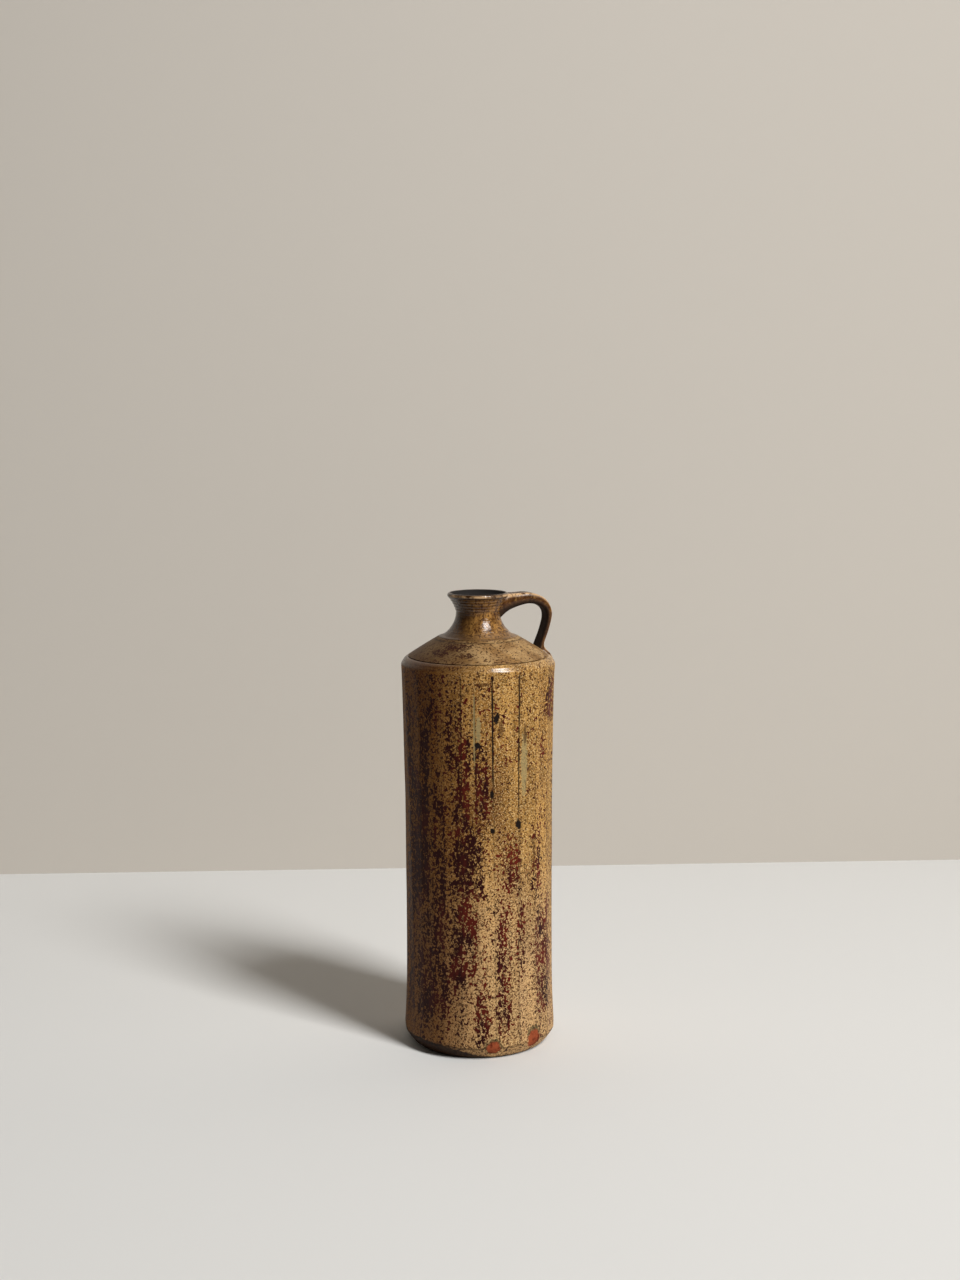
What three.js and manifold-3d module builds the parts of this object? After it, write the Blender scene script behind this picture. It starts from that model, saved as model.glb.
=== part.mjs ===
// A stoneware bottle jug: a thrown, faceted body, a sloping shoulder, a flared neck and a pulled strap handle,
// luted together. Millimetres, +Z up. The origin is the centre of the foot, on the table, and the handle
// points along +X.
import * as THREE from 'three';
import * as BufferGeometryUtils from 'three/addons/utils/BufferGeometryUtils.js';
import Module from 'manifold-3d';

const wasm = await Module();
wasm.setup();

// Heights of the thrown sections, each from the top of the one below
const bodyHeight = 237;
const bandHeight = 4.5;
const shoulderRise = 11.75;
const neckHeight = 26.75;

// Outside of the body, measured at the edges between facets
const footRadius = 40.5;
const bevelHeight = 8.4;
const heelRadius = 47.3;
const waistRadius = 45.05;
const cornerRadius = 47.2;
const heelFlareHeight = 67;
const heelFlareSharpness = 3;
const cornerFlareHeight = 87;
const cornerFlareSharpness = 1.5;
const bandTopRadius = 43.1;

// Where the knife leaves the clay: the facets run out under the corner, which stays round
const runOutHeight = 6;
const runOutRise = 1.3;

// Inside of the body and shoulder: the wall curls in under the shoulder
const wallThickness = 5;
const floorThickness = 6.5;
const floorFillet = 9;
const curlHeight = 8;
const curlRise = 3;

// Neck and mouth
const neckBaseRadius = 24.4;
const collarHeight = 0.95;
const neckFootRadius = 21.1;
const neckFlareSharpness = 2.1;
const neckWaistRadius = 12.8;
const neckWaistHeight = 14.5;
const mouthFlareSharpness = 1.5;
const lipRadius = 18.2;
const lipHeight = 3.1;
const lipThickness = 2.9;
const lipGroove = 0.8;
const boreRadius = 8.8;
const throwingRings = 4;
const throwingRingDepth = 0.18;

// Handle: a strap that leaves the rim level, turns down and lands on the shoulder
const strapWidth = 11.5;
const strapThickness = 3.5;
const strapReach = 46.8;
const crownThickness = 6;
const crownDrop = 1.1;
const elbowRun = 14;
const elbowDrop = 3.3;
const gripDrop = 13;
const legDrop = 10.5;
const legLean = 2.6;
const thumbGroove = 0.35;
const thumbGrooveShare = 0.35;

// Root of the handle: a buttress that fills the hollow of the neck and thins out past the lip
const rootWidth = 17;
const rootDepth = 17.5;
const rootToe = 4.3;
const rootSweep = 5.3;
const rootOverhang = 2.4;

// Tail of the handle, wiped thin over the shoulder and the band
const landingRadius = 39.4;
const landingRise = 4.8;
const tailWidth = 17;
const tailThickness = 2;

// Joints: the slip line cut at each seam, and the clearance of the handle to what it is luted to
const seamChamfer = 0.35;
const lutingGap = 0.3;

// Knife-cut edges between the facets, as degrees round from the front [at the foot, at the shoulder]
const facetEdges = [
  [-58, -72], [-48, -51], [-37, -38], [-27, -27], [-13, -13], [1, -3],
  [13, 10], [35, 33], [48.5, 49], [64, 65], [79, 80], [95, 94],
  [110, 111], [126, 125], [141, 142], [156, 154], [172, 171], [187, 188],
  [203, 202], [218, 217], [232, 231], [247, 245], [266, 260], [285, 274],
];
const frontFromHandle = -110;

// How finely the round and lofted forms are drawn
const roundSegments = 60;
const wallSteps = 16;
const curveSteps = 5;
const strapSteps = 30;
const strapSectionPoints = 20;

const shoulderSeat = bodyHeight + bandHeight;
const neckSeat = shoulderSeat + shoulderRise;
const rimHeight = neckSeat + neckHeight;

const clamp01 = (value) => Math.min(Math.max(value, 0), 1);
const steps = (count) => Array.from({ length: count + 1 }, (_, index) => index / count);
const at = (radius, height) => new THREE.Vector2(radius, height);

// Radius of the faceted wall at the edges: straight at the waist, flaring to the heel and to the corner.
function wallRadius(height) {
  const towardsHeel = 1 - clamp01((height - bevelHeight) / heelFlareHeight);
  const towardsCorner = clamp01((height - bodyHeight + cornerFlareHeight) / cornerFlareHeight);
  const towardsRunOut = clamp01((height - bodyHeight + runOutHeight) / runOutHeight);
  return waistRadius
    + (heelRadius - waistRadius) * towardsHeel ** heelFlareSharpness
    + (cornerRadius - waistRadius) * towardsCorner ** cornerFlareSharpness
    + runOutRise * towardsRunOut ** 2;
}

// A closed solid from a geometry whose shared corners are merged and whose empty triangles are dropped.
function toSolid(geometry) {
  geometry.deleteAttribute('normal');
  geometry.deleteAttribute('uv');
  const merged = BufferGeometryUtils.mergeVertices(geometry, 1e-4);
  const corners = [];
  for (let i = 0; i < merged.index.count; i += 3) {
    const [a, b, c] = [0, 1, 2].map((k) => merged.index.getX(i + k));
    if (a !== b && b !== c && c !== a) corners.push(a, b, c);
  }
  return new wasm.Manifold(new wasm.Mesh({
    numProp: 3,
    vertProperties: merged.attributes.position.array,
    triVerts: new Uint32Array(corners),
  }));
}

// A profile of (radius, height) points, read upwards along the outside, turned round the upright axis.
function turned(profile) {
  const geometry = new THREE.LatheGeometry(profile, roundSegments);
  geometry.rotateX(Math.PI / 2);
  return toSolid(geometry);
}

// A skin over rings of equally many points, closed with a fan at each end.
function lofted(rings) {
  const around = rings[0].length;
  const points = rings.flat();
  const corners = [];
  for (let ring = 0; ring + 1 < rings.length; ring += 1) {
    for (let i = 0; i < around; i += 1) {
      const next = (i + 1) % around;
      const [a, b] = [ring * around + i, ring * around + next];
      corners.push(a, b, b + around, a, b + around, a + around);
    }
  }
  for (const [start, flip] of [[0, true], [(rings.length - 1) * around, false]]) {
    const centre = points.length;
    const sum = points.slice(start, start + around).reduce((total, p) => total.add(p), new THREE.Vector3());
    points.push(sum.divideScalar(around));
    for (let i = 0; i < around; i += 1) {
      const [a, b] = [start + i, start + (i + 1) % around];
      corners.push(...(flip ? [b, a, centre] : [a, b, centre]));
    }
  }
  const geometry = new THREE.BufferGeometry().setFromPoints(points);
  geometry.setIndex(corners);
  return toSolid(geometry);
}

// A bowed line between two profile points, bulging to its right-hand side.
function bowed(from, to, bulge) {
  const along = to.clone().sub(from).normalize();
  const normal = at(along.y, -along.x);
  const proud = (t) => 4 * bulge * t * (1 - t);
  return steps(curveSteps).map((t) => from.clone().lerp(to, t).addScaledVector(normal, proud(t)));
}

// The cone of the shoulder, as its lower edge, its upper edge, its slope and its outward normal
const coneFoot = at(bandTopRadius, shoulderSeat);
const coneTop = at(neckBaseRadius, neckSeat);
const coneSlope = shoulderRise / (bandTopRadius - neckBaseRadius);
const coneNormal = at(shoulderRise, bandTopRadius - neckBaseRadius).normalize();
const coneBulge = 0.2;
const coneRun = bowed(coneFoot, coneTop, coneBulge);

// The cone's inner face lies one wall below the outer face.
const innerConeSeat = shoulderSeat - wallThickness / coneNormal.y;
const innerConeHeight = (radius) => innerConeSeat + (bandTopRadius - radius) * coneSlope;
const innerConeRadius = (height) => bandTopRadius - (height - innerConeSeat) / coneSlope;

// The form as thrown, before its facets are cut: bevelled foot, a wall left fat, and the rounded band on top
const thrownSpare = 0.9;
const edgeBulge = 0.5;
const bevelRun = bowed(at(footRadius, 0), at(heelRadius + thrownSpare, bevelHeight + thrownSpare), edgeBulge);
const bandRun = bowed(at(cornerRadius, bodyHeight), coneFoot, edgeBulge);

function facetedBody() {
  const thrown = turned([
    at(0, 0),
    ...bevelRun,
    at(cornerRadius, bodyHeight - runOutHeight),
    ...bandRun.slice(0, -1),
    at(bandTopRadius, shoulderSeat - seamChamfer),
    at(bandTopRadius - seamChamfer, shoulderSeat),
    at(0, shoulderSeat),
  ]);

  const overrun = wallThickness;
  const runOutStart = bodyHeight - runOutHeight;
  const levels = [
    -overrun,
    ...steps(wallSteps).map((t) => bevelHeight + t * (runOutStart - bevelHeight)),
    ...steps(curveSteps).slice(1).map((t) => runOutStart + t * runOutHeight),
    shoulderSeat + overrun,
  ];
  const facets = lofted(levels.map((height) => facetEdges.map(([foot, top]) => {
    const fromFront = THREE.MathUtils.lerp(foot, top, clamp01(height / bodyHeight));
    const turn = THREE.MathUtils.degToRad(frontFromHandle + fromFront);
    const radius = wallRadius(height);
    return new THREE.Vector3(radius * Math.cos(turn), radius * Math.sin(turn), height);
  })));

  // The hollow follows the wall, has a rounded floor, and closes in under the shoulder.
  const floorTop = floorThickness + floorFillet;
  const floorRadius = wallRadius(floorThickness) - wallThickness;
  const floorRun = steps(curveSteps).map((t) => at(
    floorRadius - floorFillet * (1 - Math.sin(t * Math.PI / 2)),
    floorTop - floorFillet * Math.cos(t * Math.PI / 2),
  ));
  const curlRadius = cornerRadius - wallThickness - seamChamfer;
  const curlTop = innerConeHeight(curlRadius);
  const curlRun = new THREE.QuadraticBezierCurve(
    at(curlRadius, curlTop - curlHeight),
    at(curlRadius, curlTop),
    at(innerConeRadius(curlTop + curlRise), curlTop + curlRise),
  ).getPoints(curveSteps);
  const wallRun = steps(wallSteps / 2).slice(1, -1).map((t) => {
    const height = floorTop + t * (curlTop - curlHeight - floorTop);
    return at(wallRadius(height) - wallThickness, height);
  });
  const mouthRadius = innerConeRadius(shoulderSeat);
  const hollow = turned([
    at(0, floorThickness),
    ...floorRun,
    ...wallRun,
    ...curlRun,
    at(mouthRadius, shoulderSeat),
    at(mouthRadius, shoulderSeat + overrun),
    at(0, shoulderSeat + overrun),
  ]);
  return thrown.intersect(facets).subtract(hollow);
}

function shoulderCone() {
  const inside = [at(innerConeRadius(neckSeat), neckSeat), at(innerConeRadius(shoulderSeat), shoulderSeat)];
  const outside = [
    at(coneFoot.x - 2 * seamChamfer, coneFoot.y),
    at(coneFoot.x - seamChamfer * coneNormal.y, coneFoot.y + seamChamfer * coneNormal.x),
    ...coneRun.slice(1, -1),
    at(coneTop.x, coneTop.y - seamChamfer),
    at(coneTop.x - seamChamfer, coneTop.y),
  ];
  return turned([inside[1], ...outside, ...inside]);
}

// Outside of the neck from its seat on the shoulder up to the crest of the lip: a flaring foot, a mouth with
// throwing rings, and the bead of the lip
function neckOutside() {
  const foot = steps(curveSteps + 2).map((t) => at(
    neckWaistRadius + (neckFootRadius - neckWaistRadius) * (1 - t) ** neckFlareSharpness,
    neckSeat + collarHeight + t * (neckWaistHeight - collarHeight),
  ));
  const lipFoot = neckHeight - lipHeight;
  const underLip = lipRadius - lipGroove;
  const mouth = steps(throwingRings * 4).slice(1).map((t) => at(
    neckWaistRadius + (underLip - neckWaistRadius) * t ** mouthFlareSharpness
      - throwingRingDepth * Math.sin(Math.PI * throwingRings * t) ** 2,
    neckSeat + neckWaistHeight + t * (lipFoot - neckWaistHeight),
  ));
  const beadStart = THREE.MathUtils.degToRad(-63);
  const bead = steps(curveSteps + 1).map((t) => {
    const turn = beadStart + t * (Math.PI / 2 - beadStart);
    return at(
      lipRadius + (lipThickness / 2) * (Math.cos(turn) - 1),
      rimHeight + (lipHeight / 2) * (Math.sin(turn) - 1),
    );
  });
  return [at(neckBaseRadius - seamChamfer, neckSeat), ...foot, ...mouth, ...bead];
}

function neck() {
  const funnelTop = at(lipRadius - lipThickness, rimHeight - lipHeight / 2);
  const boreHeight = neckSeat + neckWaistHeight;
  const bore = (end, sharpness) => steps(curveSteps).map((t) => at(
    boreRadius + (end.x - boreRadius) * t ** sharpness,
    boreHeight + t * (end.y - boreHeight),
  ));
  const funnel = bore(funnelTop, mouthFlareSharpness).reverse();
  const throat = bore(at(innerConeRadius(neckSeat), neckSeat), neckFlareSharpness).slice(1);
  return turned([throat[throat.length - 1], ...neckOutside(), ...funnel, ...throat]);
}

// The outside of everything the handle is luted to, grown by the luting gap
function lutingForm() {
  const wall = at(cornerRadius, bodyHeight - wallThickness);
  const outline = [wall, ...bandRun, ...coneRun.slice(1), ...neckOutside()];
  const runNormals = outline.slice(1).map((point, index) => {
    const along = point.clone().sub(outline[index]).normalize();
    return at(along.y, -along.x);
  });
  const grown = outline.map((point, index) => {
    const before = runNormals[Math.max(index - 1, 0)];
    const after = runNormals[Math.min(index, runNormals.length - 1)];
    const mitre = before.clone().add(after);
    return point.clone().addScaledVector(mitre, 2 * lutingGap / mitre.lengthSq());
  });
  const crest = rimHeight + lutingGap;
  return turned([at(0, wall.y), ...grown, at(grown[grown.length - 1].x, crest), at(0, crest)]);
}

function handle() {
  // A point above the cone or, past its foot, above the band, by a distance along the normal
  const aboveCone = (radius, proud) => {
    const rise = (bandTopRadius - radius) * coneSlope;
    return at(radius, shoulderSeat + rise).addScaledVector(coneNormal, proud);
  };
  const aboveBand = (share, proud) => {
    const corner = at(cornerRadius, bodyHeight);
    const normal = at(bandHeight, cornerRadius - bandTopRadius).normalize();
    return coneFoot.clone().lerp(corner, share).addScaledVector(normal, proud);
  };
  const crown = rimHeight - crownDrop;
  const underCrown = crown - crownThickness;
  const grip = rimHeight - gripDrop;
  const inside = strapReach - strapThickness;
  const rootFoot = rimHeight - rootDepth;
  const rootEnd = lipRadius + rootSweep;
  const buried = -wallThickness / 2;

  // Stations along the strap: a point of its outer face, a point of its inner face, and its width there
  const elbow = strapReach - elbowRun;
  const leg = grip - legDrop;
  const rootCore = neckWaistRadius / 2;
  const rootEdge = neckWaistRadius + rootToe / 2;
  const stations = [
    [at(rootCore, crown), at(rootCore, rootFoot - rootToe), rootWidth],
    [at(rootEdge, crown), at(rootEdge, rootFoot + rootToe), rootWidth],
    [at(rootEnd, crown), at(rootEnd, underCrown - rootOverhang), strapWidth + (rootWidth - strapWidth) / 4],
    [at(elbow, crown), at(elbow, underCrown), strapWidth],
    [
      at(strapReach - elbowDrop * 1.3, crown - elbowDrop),
      at(inside - elbowDrop * 1.1, underCrown - elbowDrop * 0.7),
      strapWidth,
    ],
    [at(strapReach, grip), at(inside, grip), strapWidth],
    [at(strapReach - legLean, leg), at(inside - legLean, leg), strapWidth],
    [
      aboveCone(landingRadius, landingRise),
      aboveCone(landingRadius - strapThickness * 0.6, landingRise / 3),
      strapWidth + (tailWidth - strapWidth) / 5,
    ],
    [
      aboveCone(landingRadius + tailThickness, tailThickness),
      aboveCone(landingRadius - tailThickness / 2, buried),
      (strapWidth + tailWidth) / 2,
    ],
    [aboveBand(0.25, tailThickness * 0.7), aboveBand(0, buried), tailWidth],
    [aboveBand(0.8, tailThickness * 0.4), aboveBand(0.6, buried), tailWidth * 0.94],
    [aboveBand(1, lutingGap * 2), aboveBand(0.9, buried), tailWidth * 0.8],
  ];
  const guide = (pick) => new THREE.CatmullRomCurve3(stations.map(pick), false, 'catmullrom', 0.5);
  const outerFace = guide(([outer]) => new THREE.Vector3(outer.x, 0, outer.y));
  const innerFace = guide(([, inner]) => new THREE.Vector3(inner.x, 0, inner.y));
  const widths = guide(([, , width]) => new THREE.Vector3(width, 0, 0));

  // The section is a flattened oval, fuller than an ellipse, with a shallow thumb groove down its outer face.
  const [fullnessAcross, fullnessThrough] = [0.8, 0.7];
  const full = (value, power) => Math.sign(value) * Math.abs(value) ** power;
  const section = (t) => {
    const outer = outerFace.getPoint(t);
    const inner = innerFace.getPoint(t);
    const middle = outer.clone().add(inner).divideScalar(2);
    const half = outer.clone().sub(middle);
    const halfWidth = widths.getPoint(t).x / 2;
    return Array.from({ length: strapSectionPoints }, (_, index) => {
      const turn = (index / strapSectionPoints) * Math.PI * 2;
      const across = full(Math.cos(turn), fullnessAcross);
      const through = full(Math.sin(turn), fullnessThrough);
      const groove = through > 0 ? thumbGroove * Math.exp(-((across / thumbGrooveShare) ** 2)) : 0;
      const point = middle.clone().addScaledVector(half, through - groove / half.length());
      point.y = halfWidth * across;
      return point;
    });
  };
  return lofted(steps(strapSteps).map(section)).subtract(lutingForm());
}

// Fired glaze over iron-bearing stoneware, a little darker and glossier towards the mouth
const glaze = (color, roughness) => new THREE.MeshStandardMaterial({ color, roughness, metalness: 0 });

function piece(name, solid, material) {
  const { vertProperties, triVerts } = solid.getMesh();
  const geometry = new THREE.BufferGeometry();
  geometry.setAttribute('position', new THREE.BufferAttribute(vertProperties, 3));
  geometry.setIndex(new THREE.BufferAttribute(triVerts, 1));
  geometry.computeVertexNormals();
  const mesh = new THREE.Mesh(geometry, material);
  mesh.name = name;
  return mesh;
}

const jug = new THREE.Group();
jug.name = 'jug';
jug.add(
  piece('faceted_body', facetedBody(), glaze(0x96713c, 0.42)),
  piece('shoulder', shoulderCone(), glaze(0x8f7350, 0.55)),
  piece('neck', neck(), glaze(0x7a5730, 0.3)),
  piece('handle', handle(), glaze(0x7d5d36, 0.35)),
);

export default jug;
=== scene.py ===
import math

import bmesh
import bpy
import numpy as np
from mathutils import Matrix, Vector


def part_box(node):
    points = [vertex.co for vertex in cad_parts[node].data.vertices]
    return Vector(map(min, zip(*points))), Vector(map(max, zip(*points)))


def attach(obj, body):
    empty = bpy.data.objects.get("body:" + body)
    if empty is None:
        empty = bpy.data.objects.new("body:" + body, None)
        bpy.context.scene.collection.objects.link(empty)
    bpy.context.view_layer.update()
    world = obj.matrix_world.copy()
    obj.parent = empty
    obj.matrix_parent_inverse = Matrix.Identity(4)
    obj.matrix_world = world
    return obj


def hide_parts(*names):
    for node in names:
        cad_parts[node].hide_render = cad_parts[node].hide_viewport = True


# A faceted stoneware bottle jug: a thrown body, shoulder and neck, a pulled handle, and speckled glazes.
# Metres, +Z up, with the centre of the foot at the origin and the handle along +X.
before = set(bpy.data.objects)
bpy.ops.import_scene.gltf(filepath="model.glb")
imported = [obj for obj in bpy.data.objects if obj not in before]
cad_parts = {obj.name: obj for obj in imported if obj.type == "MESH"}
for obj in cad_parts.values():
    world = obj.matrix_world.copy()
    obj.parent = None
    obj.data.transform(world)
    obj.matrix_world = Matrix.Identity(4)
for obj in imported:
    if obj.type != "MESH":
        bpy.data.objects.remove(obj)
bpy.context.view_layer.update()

MM = 0.001

# Points this near to a height or a place count as at it, points closer than the second length are merged,
# and slivers narrower than the third are cleared from a cut
NEAR = 0.01 * MM
MERGE = 0.005 * MM
SLIVER = 0.02 * MM

# Heights of the seams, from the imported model
SHOULDER_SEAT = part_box("shoulder")[0].z
NECK_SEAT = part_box("neck")[0].z
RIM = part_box("neck")[1].z

# The thrown and knife-cut body
FOOT_RADIUS = 40.4 * MM
BEVEL_HEIGHT = 8.4 * MM
BEVEL_SLOPE = 1.2
BEVEL_BULGE = 0.5 * MM
HEEL_RADIUS = 47.2 * MM
WAIST_RADIUS = 45.7 * MM
CORNER_RADIUS = 47.2 * MM
HEEL_FLARE = 67 * MM
CORNER_FLARE = 87 * MM
BAND_HEIGHT = 4.5 * MM
BAND_TOP_RADIUS = 43.1 * MM
BAND_BULGE = 0.5 * MM
BODY_TOP = SHOULDER_SEAT - BAND_HEIGHT
WALL_RISE = BODY_TOP - BEVEL_HEIGHT
RUN_OUT = 7 * MM
RUN_OUT_INSET = 0.15 * MM
WALL = 5 * MM
FLOOR = 6.5 * MM
FLOOR_FILLET = 9 * MM
FOOT_RING = 6 * MM
FOOT_HOLLOW = 0.8 * MM
CENTRE_RING = 4 * MM
SEAM_CUT = 0.35 * MM
SEAM_PROUD = 0.02 * MM
ARRIS = 0.4 * MM
BODY_ROWS = 91
FACET_CUTS = 4

# Shoulder and neck. The lines that a rib pressed into the cone: row of its outline, and depth in mm
CONE_BULGE = 0.2 * MM
CONE_ROWS = 44
RIB_LINES = ((38, 0.12), (40, 0.16), (42, 0.05))
NECK_BASE_RADIUS = 24.4 * MM
COLLAR = 0.95 * MM
NECK_FOOT_RADIUS = 21.1 * MM
NECK_WAIST_RADIUS = 13.6 * MM
NECK_WAIST = NECK_SEAT + 14.5 * MM
LIP_RADIUS = 18.7 * MM
LIP_HEIGHT = 3.1 * MM
LIP_THICKNESS = 2.9 * MM
LIP_GROOVE = 0.8 * MM
BORE_RADIUS = 8.8 * MM
THROWING_RINGS = 5
RING_DEPTH = 0.22 * MM
CONE_SLOPE = (NECK_SEAT - SHOULDER_SEAT) / (BAND_TOP_RADIUS - NECK_BASE_RADIUS)
THROWN_STEPS = 160

# Powers by which the neck widens from its waist to its foot and to its mouth
FOOT_FLARE = 2.1
MOUTH_FLARE = 1.5

# Handle
STRAP_WIDTH = 12.4 * MM
STRAP_THICKNESS = 3.5 * MM
STRAP_REACH = 47.2 * MM
CROWN = RIM - 1.1 * MM
CROWN_THICKNESS = 6 * MM
ELBOW_RUN = 14 * MM
ELBOW_DROP = 3.7 * MM
GRIP = RIM - 13 * MM
LEG_DROP = 10.5 * MM
LEG_LEAN = 1.8 * MM
ROOT_WIDTH = 17 * MM
ROOT_DEPTH = 17.5 * MM
ROOT_TOE = 4.3 * MM
ROOT_SWEEP = 5.3 * MM
ROOT_OVERHANG = 2.4 * MM
ROOT_BURIED = 1.2 * MM
LANDING_RADIUS = 39.4 * MM
LANDING_RISE = 4.8 * MM
TAIL_WIDTH = 17 * MM
TAIL_THICKNESS = 2 * MM
THUMB_GROOVE = 0.8 * MM
STRAP_STEPS = 40

# Shares of the strap's length between which the thumb drew its groove, and the width of the strap's two faces
# as a share of its full width
GROOVE_RUN = (0.12, 0.72)
FACE_WIDTH = 0.84

# Degrees: the turn of the viewer's frame from the jug's, from the handle round to the front, which faces
# the viewer, and from the front to the side where shade is painted over glaze that is partly browner there
VIEW_TURN = -20
FRONT = VIEW_TURN - 90
BROWN_AND_SHADED_TURN = -72

# Knife-cut edges: degrees round from the front at the foot and at the corner, share of the full score depth,
# and the height in mm down to which the score stays deep
KNIFE_EDGES = [
    (-58, -72, 0.15, 150), (-48, -51, 0.3, 120), (-37, -38, 0.2, 90), (-27, -27, 0.25, 100),
    (-13, -13, 0.6, 180), (1, -3, 0.3, 150), (13, 10, 1.0, 165), (32, 31.5, 0.9, 150),
    (48.5, 49, 0.25, 60), (64, 65, 0.2, 80), (79, 80, 0.4, 120), (95, 94, 0.25, 90),
    (110, 111, 0.7, 100), (126, 125, 0.2, 60), (141, 142, 0.35, 140), (156, 154, 0.8, 90),
    (172, 171, 0.3, 60), (187, 188, 0.4, 110), (203, 202, 0.2, 80), (218, 217, 0.7, 120),
    (232, 231, 0.3, 60), (247, 245, 0.4, 100), (266, 260, 0.2, 70), (285, 274, 0.35, 120),
]
SCORE_DEPTH = 0.3 * MM
SCORE_WIDTH = 0.35 * MM

# Streaks of iron in the glaze: degrees round from the front, half width in degrees, lowest and highest point
# in mm, and strength
IRON_STREAKS = [
    (2, 5.5, 150, 197, 0.7), (-12, 6, 138, 203, 0.8), (-8, 12, 98, 142, 1.0), (-10, 10.5, 50, 102, 0.95),
    (-16, 8, 38, 64, 0.75), (-52, 11, 96, 176, 0.95), (-32, 7, 84, 163, 0.7), (-19, 7, 176, 218, 0.6),
    (-37, 7, 203, 220, 0.6), (-45, 5, 168, 208, 0.8), (-45, 12, 24, 66, 0.8), (-28, 6, 24, 58, 0.65),
    (-37, 14, 64, 94, 0.5), (27, 7, 102, 138, 0.8), (20, 7, 26, 95, 0.75), (19, 5, 12, 40, 0.95),
    (51, 7, 98, 140, 0.8), (60, 13, 24, 95, 0.85), (34, 5, 50, 95, 0.7), (3, 6, 12, 43, 0.9),
    (69, 11, 205, 232, 0.75), (58, 4, 180, 202, 0.6), (-66, 7, 20, 220, 0.6), (86, 8, 40, 190, 0.55),
    (110, 10, 60, 180, 0.7), (132, 6, 130, 228, 0.5), (150, 8, 18, 120, 0.65), (184, 12, 90, 218, 0.8),
    (180, 9, 30, 95, 0.6), (207, 7, 20, 90, 0.6), (228, 9, 40, 165, 0.75), (250, 7, 130, 226, 0.55),
    (268, 8, 30, 140, 0.65),
]


# Modelling helpers

def pick(kind, test):
    """In edit mode, selects only the vertices, edges or faces that pass a test."""
    bpy.ops.mesh.select_mode(type=kind)
    bpy.ops.mesh.select_all(action="DESELECT")
    mesh = bpy.context.object.data
    skin = bmesh.from_edit_mesh(mesh)
    for part in {"VERT": skin.verts, "EDGE": skin.edges, "FACE": skin.faces}[kind]:
        if test(part):
            part.select_set(True)
    skin.select_flush_mode()
    bmesh.update_edit_mesh(mesh)


def picked_points():
    """The vertices that are selected, as index and place."""
    skin = bmesh.from_edit_mesh(bpy.context.object.data)
    return [(vertex.index, vertex.co.copy()) for vertex in skin.verts if vertex.select]


def pick_height(height):
    """Selects the vertices at a height."""
    pick("VERT", lambda vertex: abs(vertex.co.z - height) < NEAR)


def open_piece(name):
    """Names the primitive that was just added, puts its place in its mesh and opens it for editing."""
    piece = bpy.context.object
    piece.name = piece.data.name = name
    bpy.ops.object.transform_apply(location=True, rotation=True, scale=True)
    bpy.ops.object.mode_set(mode="EDIT")
    return piece


def close_piece():
    """Leaves edit mode with doubles merged and every face pointing out."""
    bpy.ops.mesh.select_all(action="SELECT")
    bpy.ops.mesh.remove_doubles(threshold=MERGE)
    bpy.ops.mesh.normals_make_consistent(inside=False)
    bpy.ops.object.mode_set(mode="OBJECT")
    bpy.ops.object.shade_smooth()


def apply_modifier(piece, kind, **settings):
    modifier = piece.modifiers.new(kind.lower(), kind)
    for name, value in settings.items():
        setattr(modifier, name, value)
    bpy.context.view_layer.objects.active = piece
    bpy.ops.object.modifier_apply(modifier=modifier.name)


def places_of(piece):
    """Every vertex of a piece, one row each."""
    places = np.empty(len(piece.data.vertices) * 3)
    piece.data.vertices.foreach_get("co", places)
    return places.reshape(-1, 3)


def weigh(piece, name, weights):
    """A vertex group that holds a weight for each vertex that has more than a trace of one."""
    trace = 0.01
    group = piece.vertex_groups.new(name=name)
    for index in np.flatnonzero(weights > trace):
        group.add([int(index)], float(weights[index]), "REPLACE")


def remember(piece, name, values):
    """A value for each vertex, which the piece's glaze reads as an attribute."""
    attribute = piece.data.attributes.new(name, "FLOAT", "POINT")
    attribute.data.foreach_set("value", np.ascontiguousarray(values, dtype=np.float32))


def facing_in(piece):
    """1 where a thrown piece faces its own axis, 0 where it faces out."""
    places = places_of(piece)
    normals = np.empty(places.size)
    piece.data.vertices.foreach_get("normal", normals)
    inward = -np.sum(places[:, :2] * normals.reshape(-1, 3)[:, :2], axis=1)
    return soft_step(inward / np.hypot(places[:, 0], places[:, 1]), 0.0, 0.6)


def soft_step(value, low, high):
    """0 up to the low value and 1 from the high one, or the other way round, with a soft step between."""
    share = np.clip((value - low) / (high - low), 0, 1)
    return share * share * (3 - 2 * share)


def make_uneven(piece, size, depth, weights=None):
    """Presses the soft unevenness of hand work into a piece, never outwards."""
    texture = bpy.data.textures.new("hand", "CLOUDS")
    texture.noise_scale = size
    texture.noise_depth = 1
    if weights is not None:
        weigh(piece, "uneven", weights)
    apply_modifier(
        piece, "DISPLACE", texture=texture, texture_coords="LOCAL", strength=depth, mid_level=1.0,
        vertex_group="uneven" if weights is not None else "",
    )
    piece.vertex_groups.clear()


# Body

def wall_radius(height):
    """Outer radius at the knife-cut edges: straight at the waist, flaring to the heel and to the corner."""
    to_heel = max(1 - (height - BEVEL_HEIGHT) / HEEL_FLARE, 0)
    to_corner = max((height - BODY_TOP + CORNER_FLARE) / CORNER_FLARE, 0)
    at_heel = (HEEL_RADIUS - WAIST_RADIUS) * to_heel ** 3
    at_corner = (CORNER_RADIUS - WAIST_RADIUS) * to_corner ** 1.5
    return WAIST_RADIUS + at_heel + at_corner


def row_heights():
    """The heights of the wall's rows, from the heel to the corner."""
    return [BEVEL_HEIGHT + WALL_RISE * row / BODY_ROWS for row in range(BODY_ROWS + 1)]


def climb_of(height):
    """How far up the wall a height is, from 0 at the heel to 1 at the corner."""
    return np.clip((height - BEVEL_HEIGHT) / WALL_RISE, 0, 1)


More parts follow.
